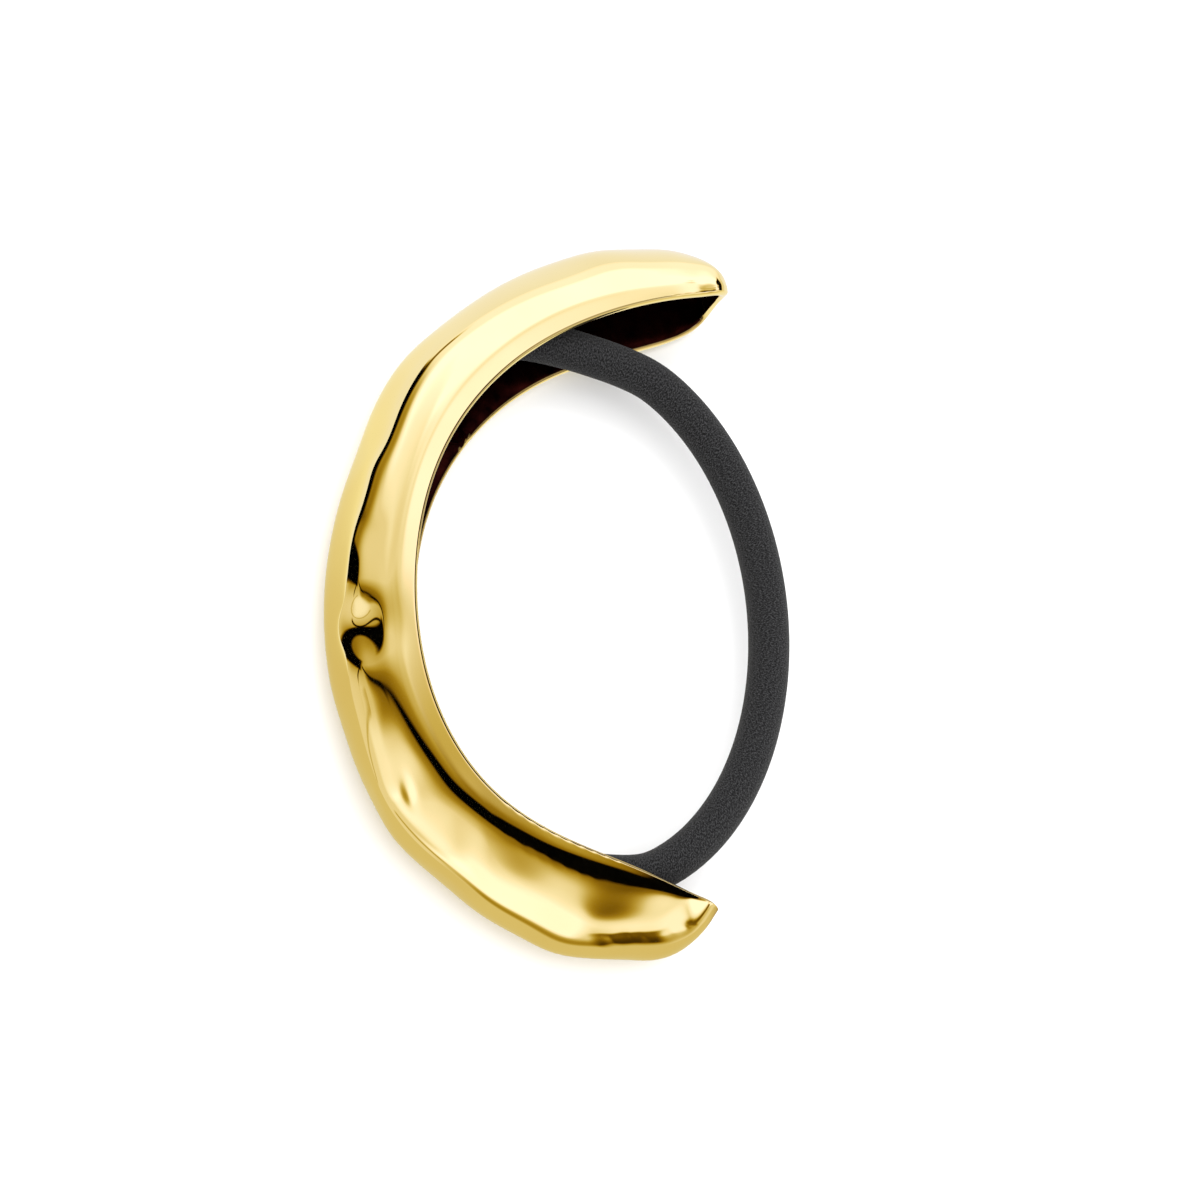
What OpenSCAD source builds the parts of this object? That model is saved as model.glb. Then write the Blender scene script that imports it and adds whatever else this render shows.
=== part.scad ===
// Ponytail cuff lying on its side: a hollow metal half ring with a dented skin, open towards the
// hair, and a round hair elastic that runs inside it and closes the ring.
// X points out of the open side, Y along the length of the cuff, Z up through the ring.

/* [Ring] */
// Half the width of the oval that the rims follow
ring_half_x = 24.3; // [21:0.1:28]
// Half the height of the oval that the rims follow
ring_half_y = 22.8; // [20:0.1:27]
// Angle on the oval at which the upper end stands
upper_end = 91.5; // [84:0.5:100]
// Angle on the oval at which the lower end stands
lower_end = 268; // [260:0.5:276]

/* [Shell] */
// Width of the mouth, from rim to rim
mouth_w = 6.4; // [6.1:0.1:8]
// Depth of the shell, from the rims to the crown
shell_depth = 7; // [6.4:0.1:8.5]
// Thickness of the metal
wall = 0.95; // [0.7:0.05:1.1]
// How much farther in the far rim stands than the near one
flare = 2.1; // [0:0.1:2.6]
// How far the flanks swell past the rims
belly = 0.5; // [0:0.05:0.9]
// How far the rounded edge of a rim stands out
rim_round = 0.25; // [0.1:0.05:0.4]
// Length over which each end rounds off
end_round = 4.2; // [3:0.1:6]
// How much farther back the far side of the upper end stands
upper_slant = 0; // [0:0.5:4]
// How much farther back the far side of the lower end stands
lower_slant = 1; // [0:0.5:4]
// Thickness of the metal at the two tips
end_wall = 0.6; // [0.5:0.1:1.6]
// How far the tips curl out from the line of the rims
tip_curl = 1; // [0.2:0.1:1.4]

/* [Elastic] */
// Diameter of the elastic
elastic_d = 3.3; // [2.6:0.1:3.5]
// How far the middle of the elastic's free bow stands back from the middle of the ring
bow_back = 11.55; // [9.5:0.05:12.5]
// How far the middle of the bow stands below the middle of the ring
bow_below = 1.75; // [0.5:0.05:2.5]
// Half the width of the bow
bow_half_x = 15.2; // [13:0.1:18]
// Half the height of the bow
bow_half_y = 21.15; // [19:0.05:23]
// Gap between the elastic and the inside of the crown
elastic_gap = 0.3; // [0.2:0.05:0.6]

/* [Keepers] */
// Diameter of the bars that keep the elastic in the shell
keeper_d = 1; // [0.7:0.1:1.2]
// Gap between a bar and the elastic
keeper_gap = 0.3; // [0.2:0.05:0.6]
// How far a bar leans from upright, its top outwards
keeper_lean = 20; // [14:1:24]
// Where the upper bar stands, as a share of the way from the upper end
upper_keeper = 0.33; // [0.28:0.01:0.4]
// Where the lower bar stands, as a share of the way from the upper end
lower_keeper = 0.72; // [0.66:0.01:0.78]

/* [Hidden] */

// Sections of the shell, evenly spaced from the upper end to the lower end.
// rim and depth are shares of shell_depth, and flare of the value flare. The flank and the crest
// are the two soft edges of the near side: out is a share of the section's depth, up of half the
// mouth.
RIM = 0; DEPTH = 1; FLARE = 2; FLANK_OUT = 3; FLANK_UP = 4; CREST_OUT = 5; CREST_UP = 6;
SECTIONS = [
    // rim, depth, flare, flank out, flank up, crest out, crest up
    [ 0.20, 0.79, 0.60, 0.30, 1.00, 0.66, 0.80],
    [ 0.01, 0.95, 1.10, 0.36, 1.04, 0.68, 0.84],
    [ 0.00, 1.03, 0.90, 0.38, 1.06, 0.66, 0.90],
    [ 0.02, 0.94, 0.88, 0.40, 1.06, 0.82, 0.86],
    [ 0.04, 0.99, 0.87, 0.40, 1.06, 0.80, 0.88],
    [ 0.06, 0.86, 0.84, 0.40, 1.06, 0.80, 0.88],
    [ 0.08, 0.93, 0.84, 0.44, 1.04, 0.88, 0.70],
    [ 0.14, 1.00, 1.00, 0.52, 1.02, 0.90, 0.50],
    [ 0.25, 1.01, 1.00, 0.50, 1.02, 1.02, 0.40],
    [ 0.27, 1.06, 1.00, 0.42, 1.00, 1.02, 0.40],
    [ 0.05, 1.17, 1.00, 0.32, 1.00, 0.94, 0.40],
    [-0.12, 1.09, 1.00, 0.28, 0.98, 0.88, 0.40],
    [ 0.10, 0.62, 1.00, 0.26, 0.96, 0.80, 0.40]
];

// The crown and the far side, the same in every section: out is a share of the section's depth, up
// of half the mouth, and the last two stand out by belly.
OUT = 0; UP = 1; SWELL = 2;
FAR_SIDE = [
    // out, up, swell
    [1.04, -0.1, 0],
    [0.98, -0.7, 0],
    [0.72, -1.0, 1],
    [0.30, -1.0, 1]
];

// Dents and bumps of the skin: along is a share of the way from the upper end, around a share of
// the way from the near rim to the far rim. long is a share of the shell's length, wide of the
// section's girth, and height of shell_depth, less than nothing for a dent.
ALONG = 0; AROUND = 1; LONG = 2; WIDE = 3; HEIGHT = 4;
DENTS = [
    // along, around, long, wide, height
    [0.110, 0.50, 0.030, 0.14,  0.05],
    [0.310, 0.55, 0.030, 0.12,  0.02],
    [0.400, 0.55, 0.030, 0.12, -0.03],
    [0.640, 0.57, 0.022, 0.10, -0.03],
    [0.700, 0.47, 0.020, 0.05,  0.03],
    [0.725, 0.58, 0.022, 0.10,  0.04],
    [0.780, 0.57, 0.022, 0.10, -0.05],
    [0.880, 0.57, 0.025, 0.12,  0.06],
    [0.945, 0.57, 0.020, 0.12, -0.05]
];

// Where the middle of a section lies, as a share of its depth; the dents point to it.
middle_out = 0.4;
// How blunt an end is: 2 is round.
nose = 2.3;
// An end closes later across the mouth than out from it: 1 closes both alike.
squareness = 0.4;
// How far along from an end its slant reaches.
slant_run = 9;
stations = 84;
end_steps = 8;
girth_steps = 32;
elastic_sides = 12;
keeper_fn = 24;

// Smooth curve through a list of equally spaced values, the ends held.
function held(list, i) = let (n = len(list))
    i < 0 ? 2 * list[0] - list[1] : i > n - 1 ? 2 * list[n - 1] - list[n - 2] : list[i];
function smooth(list, t) = let (
    x = t * (len(list) - 1),
    i = min(max(floor(x), 0), len(list) - 2),
    u = x - i)
    (pow(1 - u, 3) * held(list, i - 1) + (3 * pow(u, 3) - 6 * u * u + 4) * held(list, i)
        + (1 + 3 * u + 3 * u * u - 3 * pow(u, 3)) * held(list, i + 1)
        + pow(u, 3) * held(list, i + 2)) / 6;
function unit(v) = v / norm(v);

// A point of the oval, and the outward direction there.
function on_oval(a) = [ring_half_x * cos(a), ring_half_y * sin(a)];
function outward(a) = unit([cos(a) / ring_half_x, sin(a) / ring_half_y]);
function oval_angle(t) = upper_end + t * (lower_end - upper_end);
function in_ring(a, p) = let (q = on_oval(a) + p[0] * outward(a)) [q[0], q[1], p[1]];
// The same for a ring of the shell near an end, its far side set back.
function set_back(t, p) = let (
    s = min(t, 1 - t) * shell_length,
    most = t < 0.5 ? upper_slant : lower_slant,
    back = most * (0.5 - p[1] / mouth_w) * exp(-pow(s / slant_run, 2)) / shell_length)
    in_ring(oval_angle(t < 0.5 ? t + back : t - back), p);

// Sections lie in the plane of the outward direction and Z.
function rim_out(row) = row[RIM] * shell_depth;
function depth(row) = row[DEPTH] * shell_depth;
function section_controls(row) = let (
    r = rim_out(row), d = depth(row), w = mouth_w / 2, f = row[FLARE] * flare / 2,
    near = [r + f, w],
    flank = [r + row[FLANK_OUT] * d, row[FLANK_UP] * w],
    crest = [r + row[CREST_OUT] * d, row[CREST_UP] * w],
    far = [r - f, -w])
    [near, (near + flank) / 2, flank, (flank + crest) / 2, crest,
     each [for (p = FAR_SIDE) [r + p[OUT] * d, p[UP] * w - p[SWELL] * belly]], far];

function total(list, i = 0) = i < len(list) ? list[i] + total(list, i + 1) : 0;
function dent(t, v) = shell_depth * total([for (k = DENTS) k[HEIGHT]
    * exp(-pow((t - k[ALONG]) / k[LONG], 2) - pow((v - k[AROUND]) / k[WIDE], 2))]);
function skin(t) = let (
    row = smooth(SECTIONS, t),
    net = section_controls(row),
    middle = [rim_out(row) + depth(row) * middle_out, 0])
    [for (j = [0 : girth_steps]) let (v = j / girth_steps, p = smooth(net, v))
        p + dent(t, v) * unit(p - middle)];
function across(list, j) = unit(list[min(j + 1, len(list) - 1)] - list[max(j - 1, 0)]);
function lining(t) = let (s = skin(t))
    [for (j = [0 : 2 : girth_steps]) s[j] + wall * [across(s, j)[1], -across(s, j)[0]]];
function mouth(t) = [rim_out(smooth(SECTIONS, t)) + tip_curl, 0];
function shrink(list, t, k) = let (m = mouth(t), across = pow(k, squareness))
    [for (p = list) [m[0] + k * (p[0] - m[0]), across * p[1]]];

// Stations along the shell: closely spaced where an end rounds off.
shell_length = (lower_end - upper_end) * PI / 180 * (ring_half_x + ring_half_y) / 2;
last_ring = stations - 1;
function closing(i) = let (k = min(i, stations - i)) k < end_steps ? 90 * k / end_steps : 90;
function from_end(i, start) = let (k = min(i, stations - i))
    k < end_steps ? start + (end_round - start) * (1 - cos(closing(i)))
    : end_round + (shell_length / 2 - end_round) * (k - end_steps) / (stations / 2 - end_steps);
function station(i, start) = let (s = from_end(i, start) / shell_length)
    i <= stations / 2 ? s : 1 - s;
function end_scale(i) = pow(1 - pow(cos(closing(i)), nose), 1 / nose);

function shell_ring(i) = let (
    k = end_scale(i),
    t = station(i, 0), ti = station(i, end_wall),
    a = oval_angle(t),
    out = [for (p = shrink(skin(t), t, k)) set_back(t, p)],
    in = [for (p = shrink(lining(ti), ti, k)) set_back(ti, p)],
    n = len(out) - 1, m = len(in) - 1)
    concat(out, [rim_edge(out[n], in[m], a)], [for (j = [m : -1 : 0]) in[j]],
           [rim_edge(in[0], out[0], a)]);
function rim_edge(p, q, a) = let (o = rim_round * outward(a)) (p + q) / 2 - [o[0], o[1], 0];
function tip_points(i) = let (
    t = station(i, 0), ti = station(i, end_wall),
    a = oval_angle(t),
    p = set_back(t, mouth(t)),
    q = set_back(ti, mouth(ti)))
    [p, q, rim_edge(p, q, a)];

out_n = girth_steps + 1;
in_n = girth_steps / 2 + 1;
ring_n = out_n + in_n + 2;
shell_points = concat([for (i = [1 : last_ring]) each shell_ring(i)], tip_points(0),
                      tip_points(stations));
tips_at = last_ring * ring_n;
function tip_index(base, j) = base
    + (j < out_n ? 0 : j == out_n || j == ring_n - 1 ? 2 : 1);
function tip_faces(base, ring, turn) = [for (j = [0 : ring_n - 1]) let (
    k = (j + 1) % ring_n, a = tip_index(base, j), b = tip_index(base, k))
    each concat([turned([a, ring + k, ring + j], turn)],
                a == b ? [] : [turned([a, b, ring + k], turn)])];
function turned(f, turn) = turn ? [f[0], f[2], f[1]] : f;
shell_faces = concat(
    [for (i = [0 : last_ring - 2], j = [0 : ring_n - 1]) let (
        k = (j + 1) % ring_n, a = i * ring_n, b = a + ring_n)
        each [[a + j, b + k, a + k], [a + j, b + j, b + k]]],
    tip_faces(tips_at, 0, true),
    tip_faces(tips_at + 3, (last_ring - 1) * ring_n, false));

// The elastic's centre line: a free bow across the open side, and a run along the crown inside.
bow_lean = 3;
bow_from = -78;
bow_to = 72;
bow_steps = 18;
run_from = 0.22;
run_to = 0.82;
run_steps = 17;
function bow(a) = let (x = bow_half_x * cos(a), y = bow_half_y * sin(a))
    [x * cos(bow_lean) - y * sin(bow_lean) - bow_back,
     x * sin(bow_lean) + y * cos(bow_lean) - bow_below, 0];
function run_out(t) = let (r = elastic_d / 2 + elastic_gap)
    min([for (p = lining(t)) if (abs(p[1]) < r) p[0] - sqrt(r * r - p[1] * p[1])]);
function run(t) = in_ring(oval_angle(t), [run_out(t), 0]);
elastic_net = concat(
    [for (i = [0 : bow_steps]) bow(bow_from + (bow_to - bow_from) * i / bow_steps)],
    [for (i = [0 : run_steps]) run(run_from + (run_to - run_from) * i / run_steps)]);
elastic_rings = 2 * len(elastic_net);
function looped(i) = elastic_net[(i + len(elastic_net)) % len(elastic_net)];
function elastic_line(x) = let (i = floor(x), u = x - i)
    (pow(1 - u, 3) * looped(i - 1) + (3 * pow(u, 3) - 6 * u * u + 4) * looped(i)
        + (1 + 3 * u + 3 * u * u - 3 * pow(u, 3)) * looped(i + 1) + pow(u, 3) * looped(i + 2)) / 6;
elastic_points = [for (i = [0 : elastic_rings - 1]) let (
    p = elastic_line(i / 2),
    along = unit(elastic_line((i + 1) / 2) - elastic_line((i + elastic_rings - 1) / 2)),
    side = [along[1], -along[0], 0])
    for (j = [0 : elastic_sides - 1]) let (a = 360 * j / elastic_sides)
        p + elastic_d / 2 * (cos(a) * side + sin(a) * [0, 0, 1])];
elastic_faces = [for (i = [0 : elastic_rings - 1], j = [0 : elastic_sides - 1]) let (
    a = i * elastic_sides, b = (i + 1) % elastic_rings * elastic_sides,
    k = (j + 1) % elastic_sides)
    each [[a + j, a + k, b + k], [a + j, b + k, b + j]]];

// The whole part stands with the middle of its footprint at the origin.
all_points = concat(shell_points, elastic_points);
low = [for (k = [0 : 2]) min([for (p = all_points) p[k]])];
high = [for (k = [0 : 2]) max([for (p = all_points) p[k]])];
footing = [(low[0] + high[0]) / 2, (low[1] + high[1]) / 2, low[2]];

// A bar from wall to wall just inside the elastic, leaning as the mouth does.
module keeper(t) {
    a = oval_angle(t);
    out = run_out(t) - (elastic_d / 2 + keeper_gap + keeper_d / 2) / cos(keeper_lean);
    translate(in_ring(a, [out, 0]))
        rotate([0, keeper_lean, atan2(outward(a)[1], outward(a)[0])])
            cylinder(h = (mouth_w - wall) / cos(keeper_lean), d = keeper_d, center = true,
                     $fn = keeper_fn);
}

module cuff_shell() {
    color("gold") translate(-footing) union() {
        polyhedron(shell_points, shell_faces);
        keeper(upper_keeper);
        keeper(lower_keeper);
    }
}

module hair_elastic() {
    color("dimgray") translate(-footing) polyhedron(elastic_points, elastic_faces);
}

cuff_shell();
hair_elastic();
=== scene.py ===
import bpy
import math
from mathutils import Matrix, Vector


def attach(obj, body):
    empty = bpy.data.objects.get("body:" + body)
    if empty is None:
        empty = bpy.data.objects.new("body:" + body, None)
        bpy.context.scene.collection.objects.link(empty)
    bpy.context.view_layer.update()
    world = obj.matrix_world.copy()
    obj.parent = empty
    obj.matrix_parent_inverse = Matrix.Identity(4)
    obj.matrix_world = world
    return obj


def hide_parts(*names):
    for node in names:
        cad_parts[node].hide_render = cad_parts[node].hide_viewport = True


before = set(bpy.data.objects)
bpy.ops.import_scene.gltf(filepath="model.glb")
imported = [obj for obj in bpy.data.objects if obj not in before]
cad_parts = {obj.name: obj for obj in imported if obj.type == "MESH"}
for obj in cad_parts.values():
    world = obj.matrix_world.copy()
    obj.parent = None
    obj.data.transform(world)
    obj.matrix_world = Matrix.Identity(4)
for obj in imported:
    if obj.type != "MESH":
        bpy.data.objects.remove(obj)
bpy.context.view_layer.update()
bpy.ops.object.select_all(action="DESELECT")

# Camera
# The cuff lies on its side on a table and is seen from above, from beyond its closed side, and
# turned so that its upper end points to the top of the picture.
MM = 0.001
camera_azimuth = math.radians(-45.5)
camera_elevation = math.radians(62)
camera_roll = math.radians(50)
camera_distance = 400 * MM
aim = Vector((2.71, -1.26, 4.40)) * MM
back = Vector((math.sin(camera_azimuth) * math.cos(camera_elevation),
               -math.cos(camera_azimuth) * math.cos(camera_elevation),
               math.sin(camera_elevation)))
bpy.ops.object.camera_add(location=aim + camera_distance * back)
camera = bpy.context.object
camera.name = "camera"
level = (-back).to_track_quat("-Z", "Y").to_matrix().to_4x4()
camera.matrix_world = (Matrix.Translation(aim + camera_distance * back) @ level
                       @ Matrix.Rotation(camera_roll, 4, "Z"))
camera.data.lens = 159.6
camera.data.sensor_width = 36
camera.data.clip_start = 0.01
camera.data.clip_end = 20
bpy.context.scene.camera = camera
bpy.context.scene.view_settings.view_transform = "Standard"

# Studio light
# A soft light tent round a white table: bright panels, dark gaps and bars between them, which
# draw the black lines in the polished metal, and warmer cloth where less light comes through.
# Angles are degrees: the turn from +X towards +Y, and the height above the table.
# Only reflections see the tent; everything else is lit by plain white cloth and one soft lamp.


def join(tree, source, target):
    tree.links.new(source, target)


def feed(tree, socket, value):
    # The value is a number or colour of its own, or comes from another node.
    if isinstance(value, bpy.types.NodeSocket):
        join(tree, value, socket)
    else:
        socket.default_value = value


def maths(tree, operation, *values, clamp=False):
    node = tree.nodes.new("ShaderNodeMath")
    node.operation = operation
    node.use_clamp = clamp
    for socket, value in zip(node.inputs, values):
        feed(tree, socket, value)
    return node.outputs[0]


def smooth_step(tree, value, start, end, first=0, last=1):
    # first at start, last at end, eased between them.
    ease = tree.nodes.new("ShaderNodeMapRange")
    ease.interpolation_type = "SMOOTHSTEP"
    names = ("Value", "From Min", "From Max", "To Min", "To Max")
    for name, number in zip(names, (value, start, end, first, last)):
        feed(tree, ease.inputs[name], number)
    return ease.outputs[0]


def ramp(tree, value, stops):
    node = tree.nodes.new("ShaderNodeValToRGB")
    elements = node.color_ramp.elements
    elements[0].position, elements[0].color = stops[0]
    elements[1].position, elements[1].color = stops[-1]
    for place, colour in stops[1:-1]:
        elements.new(place).color = colour
    join(tree, value, node.inputs[0])
    return node.outputs[0]


def inside(tree, off, half, soft):
    # 1 within half of the middle, falling softly to 0 outside it.
    return smooth_step(tree, maths(tree, "ABSOLUTE", off), maths(tree, "SUBTRACT", half, soft),
                       maths(tree, "ADD", half, soft), 1, 0)


panel = bpy.data.node_groups.new("tent_panel", "ShaderNodeTree")
for name in ("Turn", "Height", "Middle turn", "Middle height", "Half width", "Half height",
             "Slant", "Softness", "Amount"):
    panel.interface.new_socket(name, in_out="INPUT", socket_type="NodeSocketFloat")
panel.interface.new_socket("Mask", in_out="OUTPUT", socket_type="NodeSocketFloat")
given = panel.nodes.new("NodeGroupInput").outputs
raised = maths(panel, "SUBTRACT", given["Height"], given["Middle height"])
turned = maths(panel, "SUBTRACT", given["Turn"], given["Middle turn"])
turned = maths(panel, "SUBTRACT", turned, maths(panel, "MULTIPLY", raised, given["Slant"]))
turned = maths(panel, "WRAP", turned, 180, -180)
across = inside(panel, turned, given["Half width"], given["Softness"])
upright = inside(panel, raised, given["Half height"], given["Softness"])
mask = maths(panel, "MULTIPLY", maths(panel, "MULTIPLY", across, upright), given["Amount"])
join(panel, mask, panel.nodes.new("NodeGroupOutput").inputs["Mask"])

world = bpy.data.worlds.new("studio")
bpy.context.scene.world = world
world.use_nodes = True
tent = world.node_tree
tent.nodes.clear()
split = tent.nodes.new("ShaderNodeSeparateXYZ")
join(tent, tent.nodes.new("ShaderNodeTexCoord").outputs["Generated"], split.inputs[0])
east, north, up = split.outputs
height = maths(tent, "MULTIPLY", maths(tent, "ARCSINE", up), 180 / math.pi)
turn = maths(tent, "MULTIPLY", maths(tent, "ARCTAN2", north, east), 180 / math.pi)


def tent_panel(row):
    node = tent.nodes.new("ShaderNodeGroup")
    node.node_tree = panel
    join(tent, turn, node.inputs["Turn"])
    join(tent, height, node.inputs["Height"])
    for socket, number in zip(list(node.inputs)[2:], row):
        socket.default_value = number
    return node.outputs["Mask"]


# middle turn, middle height, half width, half height, slant, softness, amount
BRIGHT_PANELS = (
    (268, 46, 24, 20, 0.5, 5, 1.0),
    (225, 54, 24, 10, 0, 8, 0.8),
    (198, 50, 10, 14, 0, 5, 0.35),
    (309, 40, 12, 14, 0, 4, 0.75),
    (88, 48, 34, 12, 0, 10, 1.2),
    (88, 20, 34, 22, 0, 12, 0.7),
    (45, 52, 40, 11, 0, 5, 0.9),
)
DARK_PANELS = (
    (156, 12, 9, 34, 0.12, 2, 1.0),
    (140, 5, 22, 9, 0, 4, 1.0),
    (120, 8, 14, 3.5, 0, 3, 0.9),
    (140, 26, 26, 16, 0, 14, 0.55),
    (160, 30, 18, 28, 0.2, 14, 0.35),
    (170, 52.5, 2.5, 5, 1.7, 1.5, 1.0),
    (173.5, 38.5, 2.5, 5, -1.67, 1.5, 1.0),
    (190.5, 24, 0.8, 22, -0.27, 0.8, 0.3),
    (230, 19, 12, 3, 0, 3, 0.4),
    (275, 13, 30, 9, 0, 8, 0.55),
    (296, 24, 4, 14, 0, 3, 0.85),
    (303, 59, 4, 4, 0, 3, 0.6),
    (287, 68, 22, 5, 0, 5, 0.25),
    (340, 64, 20, 4, 0, 3, 1.0),
    (44, 47, 9, 5, 0, 3, 1.0),
    (25, 34, 34, 13, 0, 3, 1.0),
)
table_glow, tent_glow = 0.72, 0.85
table_edge = 4
tent_level = smooth_step(tent, height, -table_edge, table_edge, table_glow, tent_glow)
for row in BRIGHT_PANELS:
    tent_level = maths(tent, "ADD", tent_level, tent_panel(row))
for row in DARK_PANELS:
    left = maths(tent, "SUBTRACT", 1, tent_panel(row))
    tent_level = maths(tent, "MULTIPLY", tent_level, left)

# A dark wedge hangs under the roof of the tent, narrow to the left and wide over the open side.
# It is drawn on a flat roof at unit height: roof_x and roof_y are the places a ray meets it.
lowest_ray = 0.15
wedge_place, wedge_turn_left, wedge_turn_right = -0.04, -0.13, 0.33
wedge_width, wedge_growth, wide_from = 0.12, 3, 0.4
edge_from, edge_to = -0.02, 0.25
# how far across the wedge's soft edge, and how much light comes through there
WEDGE_EDGE = ((0, 0), (0.07, 0.12), (0.15, 0.3), (0.44, 0.45), (0.63, 0.68), (1, 1))
overhead = maths(tent, "MAXIMUM", up, lowest_ray)
roof_x = maths(tent, "DIVIDE", east, overhead)
roof_y = maths(tent, "DIVIDE", north, overhead)
left_part = maths(tent, "MINIMUM", roof_x, 0)
right_part = maths(tent, "MAXIMUM", roof_x, 0)
wedge_middle = maths(tent, "MULTIPLY_ADD", left_part, wedge_turn_left, wedge_place)
wedge_middle = maths(tent, "SUBTRACT", wedge_middle,
                     maths(tent, "MULTIPLY", right_part, wedge_turn_right))
narrow_part = maths(tent, "MINIMUM", roof_x, wide_from)
wide_part = maths(tent, "MAXIMUM", maths(tent, "SUBTRACT", roof_x, wide_from), 0)
wedge_half = maths(tent, "EXPONENT", maths(tent, "MULTIPLY", narrow_part, wedge_growth))
wedge_half = maths(tent, "MULTIPLY_ADD", wedge_half, wedge_width, wide_part)
off_middle = maths(tent, "ABSOLUTE", maths(tent, "SUBTRACT", roof_y, wedge_middle))
beyond = maths(tent, "SUBTRACT", off_middle, wedge_half)
beyond = maths(tent, "DIVIDE", maths(tent, "SUBTRACT", beyond, edge_from), edge_to - edge_from)
shade = ramp(tent, beyond, [(place, (tone, tone, tone, 1)) for place, tone in WEDGE_EDGE])
hung = maths(tent, "MULTIPLY", smooth_step(tent, up, 0.45, 0.6),
             smooth_step(tent, roof_x, -0.85, -0.7))
hung = maths(tent, "MULTIPLY", hung, smooth_step(tent, roof_x, 0.36, 0.47, 1, 0))
taken = maths(tent, "MULTIPLY", hung, maths(tent, "SUBTRACT", 1, shade))
tent_level = maths(tent, "MULTIPLY", tent_level, maths(tent, "SUBTRACT", 1, taken))

# The brightest cloth is burnt out to one even tone. The less light comes through the cloth, the
# warmer it looks: each row is a share of the brightest level, and the cloth's colour there.
burnt_out = 2.1
brightest = 2.5
CLOTH = (
    (0, (1, 0.50, 0.01, 1)),
    (0.06, (1, 0.57, 0.02, 1)),
    (0.132, (1, 0.66, 0.04, 1)),
    (0.19, (1, 0.76, 0.13, 1)),
    (0.28, (1, 0.91, 0.54, 1)),
    (0.35, (1, 0.97, 0.90, 1)),
    (0.42, (0.92, 0.93, 1, 1)),
    (0.47, (0.86, 0.88, 1, 1)),
    (0.63, (0.76, 0.75, 1, 1)),
    (0.84, (0.70, 0.68, 1, 1)),
)
tent_level = maths(tent, "MINIMUM", tent_level, burnt_out)
cloth = ramp(tent, maths(tent, "DIVIDE", tent_level, brightest), CLOTH)
mirrored = tent.nodes.new("ShaderNodeBackground")
join(tent, cloth, mirrored.inputs["Color"])
join(tent, tent_level, mirrored.inputs["Strength"])
plain = tent.nodes.new("ShaderNodeBackground")
plain.inputs["Color"].default_value = (1, 1, 1, 1)
plain.inputs["Strength"].default_value = 1.85
choose = tent.nodes.new("ShaderNodeMixShader")
join(tent, tent.nodes.new("ShaderNodeLightPath").outputs["Is Glossy Ray"], choose.inputs["Fac"])
join(tent, plain.outputs[0], choose.inputs[1])
join(tent, mirrored.outputs[0], choose.inputs[2])
join(tent, choose.outputs[0], tent.nodes.new("ShaderNodeOutputWorld").inputs["Surface"])

# The lamp stands towards the top of the picture, so that a soft shadow falls to the bottom.
lamp_rise = 1.1
lamp_distance = 600 * MM
picture_top = camera.matrix_world.to_3x3() @ Vector((0, 1, 0))
lamp_way = (picture_top + Vector((0, 0, lamp_rise))).normalized()
bpy.ops.object.light_add(type="AREA", location=aim + lamp_distance * lamp_way)
lamp = bpy.context.object
lamp.name = "soft_lamp"
lamp.data.shape = "DISK"
lamp.data.size = 220 * MM
lamp.data.energy = 0.5
lamp.rotation_euler = lamp_way.to_track_quat("Z", "Y").to_euler()
lamp.visible_glossy = False

# A fine brown net hangs over the lower half of the cuff and dims what the metal mirrors there.
# It is thickest in the middle and thins out to its edges, given as shares of its half sides.
net_place = Vector((5, -1, 44)) * MM
net_half_x, net_half_y = 7 * MM, 18 * MM
net_tone = (0.64, 0.54, 0.20, 1)
bpy.ops.mesh.primitive_plane_add(size=2, location=net_place)
net = bpy.context.object
net.name = "net"
net.scale = (net_half_x, net_half_y, 1)
net.visible_camera = net.visible_diffuse = net.visible_shadow = False
gauze = bpy.data.materials.new("gauze")
gauze.use_nodes = True
tree = gauze.node_tree
tree.nodes.clear()
split = tree.nodes.new("ShaderNodeSeparateXYZ")
join(tree, tree.nodes.new("ShaderNodeTexCoord").outputs["Object"], split.inputs[0])
middle = maths(tree, "MULTIPLY", inside(tree, split.outputs["X"], 0.6, 0.4),
               inside(tree, split.outputs["Y"], 0.5, 0.5))
through = tree.nodes.new("ShaderNodeBsdfTransparent")
join(tree, ramp(tree, middle, ((0, (1, 1, 1, 1)), (1, net_tone))), through.inputs["Color"])
join(tree, through.outputs[0], tree.nodes.new("ShaderNodeOutputMaterial").inputs["Surface"])
net.data.materials.append(gauze)

# Table
# A sheet of matt white board that the cuff lies on, lit from all round.
# To reflections alone the board is a warm glow, paler and brighter past the cuff's upper end, which
# the polished metal mirrors: a painted reflection.
bpy.ops.mesh.primitive_plane_add(size=4)
table = bpy.context.object
table.name = "table"
board = bpy.data.materials.new("white_board")
board.use_nodes = True
tree = board.node_tree
coat = tree.nodes["Principled BSDF"]
coat.inputs["Base Color"].default_value = (0.86, 0.86, 0.86, 1)
coat.inputs["Roughness"].default_value = 0.9
coat.inputs["Specular IOR Level"].default_value = 0.1
MIRRORED_BOARD = ((0, (1, 0.91, 0.56, 1)), (0.5, (1, 1, 0.85, 1)), (1, (0.80, 0.84, 1, 1)))
glow_added = 0.48
place = tree.nodes.new("ShaderNodeSeparateXYZ")
join(tree, tree.nodes.new("ShaderNodeTexCoord").outputs["Object"], place.inputs[0])
past_end = smooth_step(tree, place.outputs["Y"], -10 * MM, 36 * MM)
glow = tree.nodes.new("ShaderNodeEmission")
join(tree, ramp(tree, past_end, MIRRORED_BOARD), glow.inputs["Color"])
join(tree, maths(tree, "MULTIPLY_ADD", past_end, glow_added, table_glow), glow.inputs["Strength"])
either = tree.nodes.new("ShaderNodeMixShader")
join(tree, tree.nodes.new("ShaderNodeLightPath").outputs["Is Glossy Ray"], either.inputs["Fac"])
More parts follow.
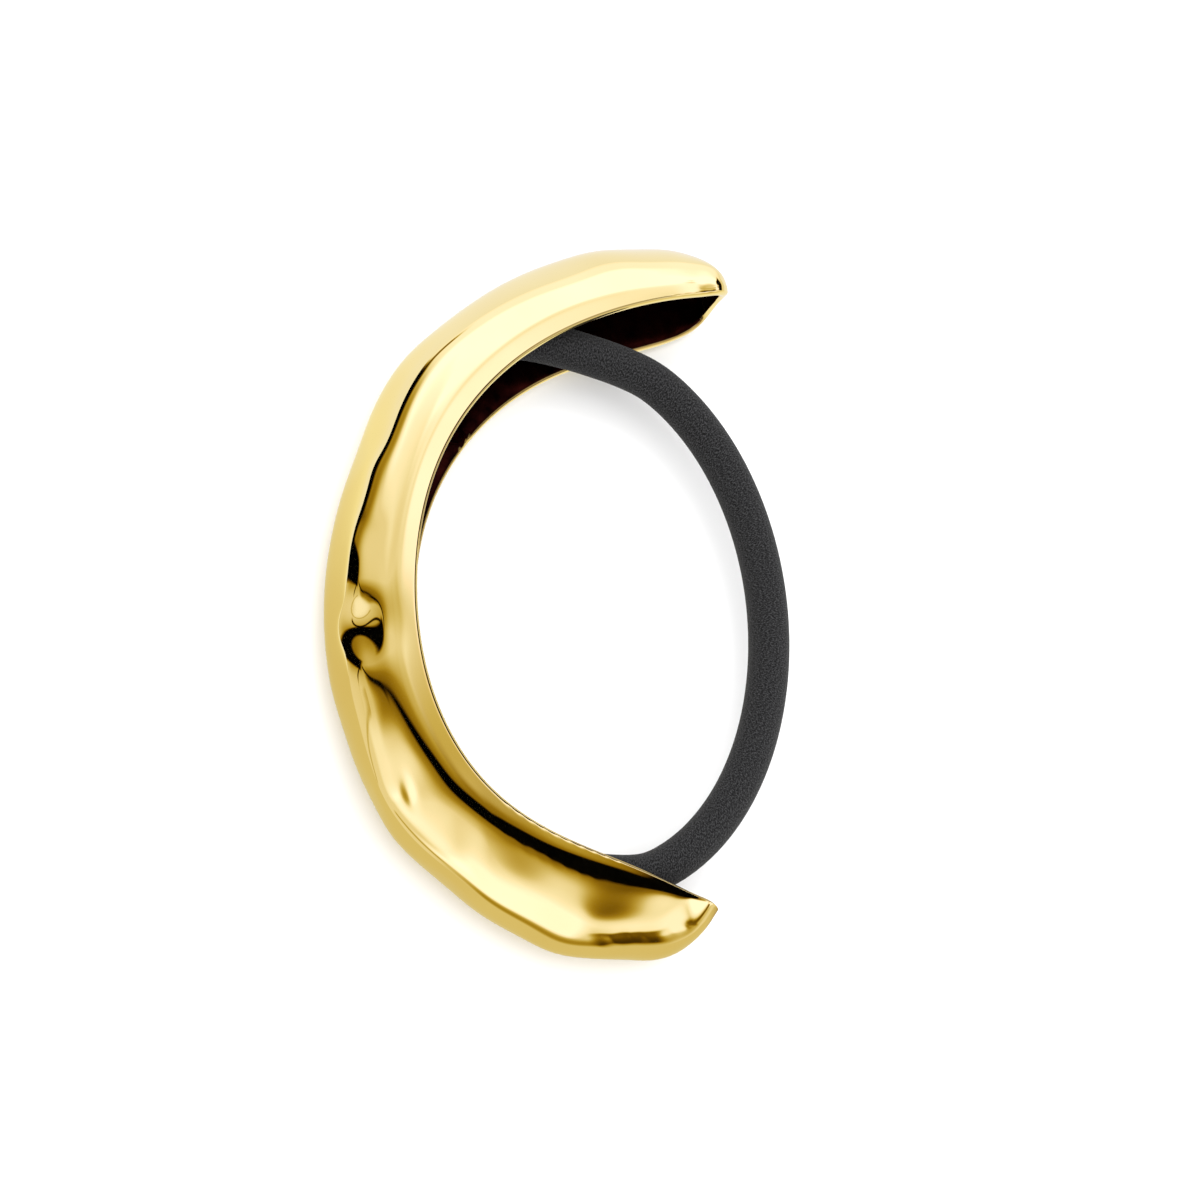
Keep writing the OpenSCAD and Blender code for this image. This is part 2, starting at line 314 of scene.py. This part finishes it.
join(tree, coat.outputs[0], either.inputs[1])
join(tree, glow.outputs[0], either.inputs[2])
join(tree, either.outputs[0], tree.nodes["Material Output"].inputs["Surface"])
table.data.materials.append(board)
bpy.ops.object.select_all(action="DESELECT")

# Cuff shell
# A hollow half ring of brass, cast with soft dents, polished to a mirror and gold plated. The
# inside of its channel, with the two bars soldered in there, is painted nearly black as shade.
# The cuff is worked in a frame of its own: an oval round ring_middle, which the rims follow. The
# angle runs round the oval from +X, and a section lies in the plane of the way out and +Z.
# These sizes are in mm and degrees.
ring_middle = Vector((13.19, -0.38, 3.67))
ring_half_x = 24.3
ring_half_y = 22.8
section_middle = 3


def copy_of_node(node, name):
    # The node's mesh as a piece of its own: welded, in quads again, ready to be worked on.
    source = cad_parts[node]
    weld = 0.002 * MM
    flatness = math.radians(70)
    piece = bpy.data.objects.new(name, source.data.copy())
    bpy.context.scene.collection.objects.link(piece)
    piece.data.materials.clear()
    bpy.ops.object.select_all(action="DESELECT")
    bpy.context.view_layer.objects.active = piece
    piece.select_set(True)
    bpy.ops.object.mode_set(mode="EDIT")
    bpy.ops.mesh.select_all(action="SELECT")
    bpy.ops.mesh.remove_doubles(threshold=weld)
    bpy.ops.mesh.tris_convert_to_quads(face_threshold=flatness, shape_threshold=flatness)
    bpy.ops.object.mode_set(mode="OBJECT")
    return piece


def make_smooth(piece):
    smooth = piece.modifiers.new("smooth", "SUBSURF")
    smooth.levels = smooth.render_levels = 2
    bpy.ops.object.modifier_apply(modifier=smooth.name)


def place_on_ring(point):
    # Angle on the oval in degrees, the way out there, and how far out and up the point lies.
    p = point / MM - ring_middle
    out = 0
    for closer in range(4):
        angle = math.atan2(p.y / (ring_half_y + out), p.x / (ring_half_x + out))
        way = Vector((math.cos(angle) / ring_half_x, math.sin(angle) / ring_half_y, 0)).normalized()
        foot = Vector((ring_half_x * math.cos(angle), ring_half_y * math.sin(angle), p.z))
        out = (p - foot).dot(way)
    return math.degrees(angle) % 360, way, out, p.z


def share(value, none, all_of_it):
    # 0 at none, 1 at all_of_it, straight between them.
    return min(max((value - none) / (all_of_it - none), 0), 1)


shell = copy_of_node("cuff_shell", "polished_shell")
make_smooth(shell)

# Hand-worked dents and bumps, finer than the casting's own.
# angle on the oval, angle round the section, half length, half width, turn, height
DABS = (
    (166, 28, 1.8, 1.2, 0, 0.12),
    (180, 30, 1.8, 0.9, 0, 0.12),
    (187, 32, 2.0, 1.4, 0, 0.16),
    (192, 32, 2.4, 1.8, 0, -0.46),
    (197, 24, 2.0, 1.2, 0, 0.16),
    (177.5, 50, 1.2, 0.9, 0, -0.05),
    (221, 38, 1.8, 1.4, 0, 0.05),
    (218, 12, 2.2, 1.2, 0, 0.10),
    (217, 22, 1.1, 0.3, -15, -0.05),
    (234, 62, 2.2, 1.4, 0, -0.04),
)
ring_radius = 23.5
out_share = 0.9
# Both ends are filed a little rounder: angle on the oval, half length in degrees, and how far
# each side is worked up or down there.
ROUNDED_ENDS = ((94, 2.5, 0.4), (265.5, 2.5, 0.4))
# The bars: angle on the oval, how far out of it their middle is. Both lean with the mouth.
BARS = ((150, 1.28), (218.6, 2.57))
bar_lean = math.tan(math.radians(20))
bar_reach = 0.95
bar_half_height = 3
rim_reach = 1.5
# What the materials need to know of each point, to paint shade there and to set its roughness and
# bumps: whether it is inside the channel or on a bar, and how near it is to the rounded rim, its
# flat, and the corner between the flat and the skin.
masks = {"inside": [], "rim": [], "rim_flat": [], "rim_edge": []}
moves = []
for vertex in shell.data.vertices:
    angle, way, out, up_mm = place_on_ring(vertex.co)
    around = math.degrees(math.atan2(up_mm, out - section_middle))
    reach = math.hypot(up_mm, out - section_middle)
    radial = way * math.cos(math.radians(around)) + Vector((0, 0, math.sin(math.radians(around))))
    facing = vertex.normal.dot(radial)
    inward = -vertex.normal.dot(way)
    lift = 0
    for at, over, half_long, half_wide, turned_by, high in DABS:
        far = math.radians(angle - at) * (ring_radius + out_share * out)
        over_by = math.radians((around - over + 180) % 360 - 180) * reach
        cosine, sine = math.cos(math.radians(turned_by)), math.sin(math.radians(turned_by))
        along, aside = far * cosine + over_by * sine, over_by * cosine - far * sine
        lift += high * math.exp(-(along / half_long) ** 2 - (aside / half_wide) ** 2)
    lift *= share(facing, 0.05, 0.35)
    spread = sum(most * math.exp(-((angle - at) / half) ** 2) for at, half, most in ROUNDED_ENDS)
    spread *= math.tanh(up_mm)
    moves.append(lift * MM * vertex.normal + Vector((0, 0, spread * MM)))
    from_bars = (math.hypot(math.radians(angle - at) * ring_radius, out - middle - bar_lean * up_mm)
                 for at, middle in BARS)
    on_bar = abs(up_mm) < bar_half_height and min(from_bars) < bar_reach
    at_rim = out < rim_reach and facing > 0.2
    masks["inside"].append(1 if facing < -0.1 or on_bar else 0)
    masks["rim"].append(share(abs(facing), 0.4, 0))
    masks["rim_flat"].append(share(inward, 0.6, 0.8) if at_rim else 0)
    masks["rim_edge"].append(share(abs(inward - 0.45), 0.25, 0) if at_rim else 0)
for name, values in masks.items():
    shell.data.attributes.new(name, "FLOAT", "POINT")
    shell.data.attributes[name].data.foreach_set("value", values)
for vertex, move in zip(shell.data.vertices, moves):
    vertex.co += move
bpy.ops.object.shade_smooth()

gold = bpy.data.materials.new("polished_gold")
gold.use_nodes = True
tree = gold.node_tree
metal = tree.nodes["Principled BSDF"]
metal.inputs["Metallic"].default_value = 1.0


def noise(tree, scale, detail=2.0, roughness=0.5, vector=None):
    # Scale counts lumps to the metre, as the Object coordinates do.
    node = tree.nodes.new("ShaderNodeTexNoise")
    node.inputs["Scale"].default_value = scale
    node.inputs["Detail"].default_value = detail
    node.inputs["Roughness"].default_value = roughness
    vector = vector or tree.nodes.new("ShaderNodeTexCoord").outputs["Object"]
    join(tree, vector, node.inputs["Vector"])
    return node.outputs["Fac"]


def stored(tree, name):
    node = tree.nodes.new("ShaderNodeAttribute")
    node.attribute_name = name
    return node.outputs["Fac"]


def blend(tree, amount, first, second):
    node = tree.nodes.new("ShaderNodeMix")
    node.data_type = "RGBA"
    for socket, value in zip((node.inputs[0], node.inputs[6], node.inputs[7]),
                             (amount, first, second)):
        feed(tree, socket, value)
    return node.outputs[2]


def raised_by(tree, height, strength, distance):
    bump = tree.nodes.new("ShaderNodeBump")
    bump.inputs["Strength"].default_value = strength
    bump.inputs["Distance"].default_value = distance
    join(tree, height, bump.inputs["Height"])
    return bump.outputs[0]


PLATED = ((0.3, (0.94, 0.74, 0.31, 1)), (0.7, (0.96, 0.77, 0.335, 1)))
# Painted shade: nearly black for the inside of the channel and the bars, a browner gold for the
# rims, a dark line in their corners, and a dark tint for the inside seen edge on.
CAVITY_SHADE = ((0.3, (0.004, 0.001, 0.001, 1)), (0.75, (0.04, 0.006, 0.004, 1)))
painted_rim_shade = (0.50, 0.30, 0.07, 1)
painted_corner_shade = (0.03, 0.015, 0.003, 1)
cavity_shade_edge_on = (0.03, 0.006, 0.004, 1)
shaded_inside = stored(tree, "inside")
rim = stored(tree, "rim")
plating_and_shade = ramp(tree, noise(tree, 160), PLATED)
# Painted shade: the rims are painted a browner gold that stands in for a dark reflection, least
# towards the upper end, and their flat most in the lower arm. The same mask makes the rims rougher.
place = tree.nodes.new("ShaderNodeSeparateXYZ")
join(tree, tree.nodes.new("ShaderNodeTexCoord").outputs["Object"], place.inputs[0])
short_of_end = smooth_step(tree, place.outputs["Y"], 31 * MM, 24 * MM)
lower_arm = smooth_step(tree, place.outputs["Y"], 14 * MM, 5 * MM)
rim_shade_and_rub = maths(tree, "MULTIPLY", rim, maths(tree, "MULTIPLY_ADD", noise(tree, 1500), 0.3, 0.1))
rim_shade_and_rub = maths(tree, "MULTIPLY_ADD", short_of_end, 0.75, rim_shade_and_rub)
rim_shade_and_rub = maths(tree, "MULTIPLY", rim, rim_shade_and_rub, clamp=True)
flat = maths(tree, "MULTIPLY", stored(tree, "rim_flat"), maths(tree, "MULTIPLY", lower_arm, 0.8))
rim_shade_and_rub = maths(tree, "MAXIMUM", rim_shade_and_rub, flat)
plating_and_shade = blend(tree, rim_shade_and_rub, plating_and_shade, painted_rim_shade)
# Painted shade: a dark line is painted in the corner along each rim, standing in for the dark that
# the rounding reflects.
left = maths(tree, "MULTIPLY", stored(tree, "rim_edge"), 0.85)
plating_and_shade = blend(tree, left, plating_and_shade, painted_corner_shade)
# Painted shade: the inside of the channel and the bars are coloured nearly black.
cavity_shade = ramp(tree, noise(tree, 900, 4), CAVITY_SHADE)
join(tree, blend(tree, shaded_inside, plating_and_shade, cavity_shade), metal.inputs["Base Color"])
# Painted shade: seen edge on, the reflection inside the channel and on the bars is darkened too,
# where the gold outside shines.
join(tree, blend(tree, shaded_inside, (1, 1, 1, 1), cavity_shade_edge_on), metal.inputs["Specular Tint"])
# Polishing haze, fine rub marks at the rims, and a sandy surface inside.
haze = maths(tree, "MULTIPLY_ADD", noise(tree, 420, 3), 0.03, 0.02)
haze = maths(tree, "MULTIPLY_ADD", rim_shade_and_rub, 0.15, haze)
join(tree, maths(tree, "MULTIPLY_ADD", shaded_inside, 0.32, haze), metal.inputs["Roughness"])
sandy = maths(tree, "MULTIPLY", noise(tree, 6000, 3), shaded_inside)
ripple = maths(tree, "MULTIPLY_ADD", noise(tree, 350, 1), 0.10, sandy)
join(tree, raised_by(tree, ripple, 0.5, 0.02 * MM), metal.inputs["Normal"])
shell.data.materials.append(gold)
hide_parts("cuff_shell")
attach(shell, "root")

# Hair elastic
# A thick round rubber core in a tight knitted cover, joined end to end inside the shell. It
# runs behind both bars, and its free part closes the ring across the open side.
elastic = copy_of_node("hair_elastic", "knitted_elastic")
make_smooth(elastic)
bpy.ops.object.shade_smooth()

# A map of the cover, in mm along the loop and round it, its seam underneath.
loop_middle = Vector((0.8, -1.7, 0))
loop_radius = 20
elastic_radius = 1.65
cover = elastic.data.uv_layers.new(name="cover")


def place_on_cover(vertex):
    spoke = vertex.co / MM - loop_middle
    level_part = Vector((vertex.normal.x, vertex.normal.y))
    side = math.copysign(level_part.length, level_part.dot(spoke.xy))
    return math.atan2(spoke.y, spoke.x), math.atan2(side, vertex.normal.z)


whole_turn = 2 * math.pi
for face in elastic.data.polygons:
    corners = [place_on_cover(elastic.data.vertices[k]) for k in face.vertices]
    for loop, corner in zip(face.loop_indices, corners):
        near = [value - whole_turn * round((value - start) / whole_turn)
                for value, start in zip(corner, corners[0])]
        cover.data[loop].uv = (near[0] * loop_radius, near[1] * elastic_radius)

knit = bpy.data.materials.new("black_knit")
knit.use_nodes = True
tree = knit.node_tree
yarn = tree.nodes["Principled BSDF"]
YARN = ((0.37, (0.0005, 0.0005, 0.0005, 1)), (0.46, (0.005, 0.005, 0.0053, 1)),
        (0.6, (0.04, 0.04, 0.0415, 1)))
yarn_map = tree.nodes.new("ShaderNodeUVMap")
yarn_map.uv_map = "cover"
stitches = tree.nodes.new("ShaderNodeMapping")
stitches.inputs["Rotation"].default_value = (0, 0, math.radians(20))
stitches.inputs["Scale"].default_value = (11, 5.5, 1)
join(tree, yarn_map.outputs[0], stitches.inputs["Vector"])
fleck = noise(tree, 1.0, 2, 0.6, stitches.outputs[0])
fluff = noise(tree, 9.0, 3, 0.6, yarn_map.outputs[0])
grain = maths(tree, "MULTIPLY_ADD", fleck, 0.65, maths(tree, "MULTIPLY", fluff, 0.35))
join(tree, ramp(tree, grain, YARN), yarn.inputs["Base Color"])
yarn.inputs["Roughness"].default_value = 0.92
yarn.inputs["Specular IOR Level"].default_value = 0.15
yarn.inputs["Sheen Weight"].default_value = 0.08
yarn.inputs["Sheen Roughness"].default_value = 0.5
join(tree, raised_by(tree, grain, 0.8, 0.08 * MM), yarn.inputs["Normal"])
elastic.data.materials.append(knit)
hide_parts("hair_elastic")
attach(elastic, "root")
